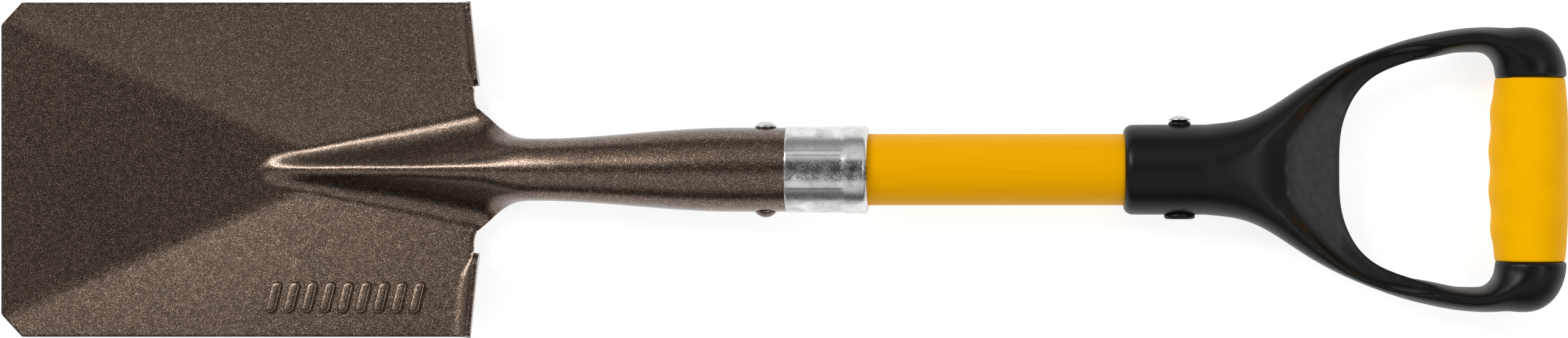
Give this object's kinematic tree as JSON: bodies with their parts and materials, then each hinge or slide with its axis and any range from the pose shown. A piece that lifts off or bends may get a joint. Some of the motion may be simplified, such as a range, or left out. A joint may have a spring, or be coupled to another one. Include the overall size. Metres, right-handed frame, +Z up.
{
  "type": "roofing shovel",
  "caption": "Short square-mouth shovel with folded treads, a riveted tube shaft and a D-shaped hand grip with a soft sleeve.",
  "frame": {"origin": "centre of the shovel's footprint on the surface it lies on", "axes": "+X along the shaft from the blade's cutting edge to the hand grip, +Y across the blade, +Z up out of the blade's hollow face"},
  "size_m": [0.6915, 0.148, 0.0394],
  "materials": {
    "head_coating": "hammered bronze-brown powder coat, satin",
    "zinc": "zinc-plated, satin",
    "rivet_steel": "plated steel, bright",
    "shaft_yellow": "pultruded fibreglass, satin gloss",
    "grip_black": "moulded, fine satin texture",
    "sleeve_yellow": "soft moulded rubber, satin",
    "bush_black": "moulded, satin",
    "plug_wood": "raw turned hardwood"
  },
  "bodies": {
    "root": {"blade": "head_coating", "ferrule": "zinc", "socket_bush": "bush_black", "shaft": "shaft_yellow", "socket_plug": "plug_wood", "grip_plug": "plug_wood", "socket_rivet": "rivet_steel", "socket_rivet_washer": "zinc", "grip_rivet": "rivet_steel", "grip_rivet_washer": "zinc", "grip_frame": "grip_black", "grip_sleeve": "sleeve_yellow"}
  },
  "joints": []
}
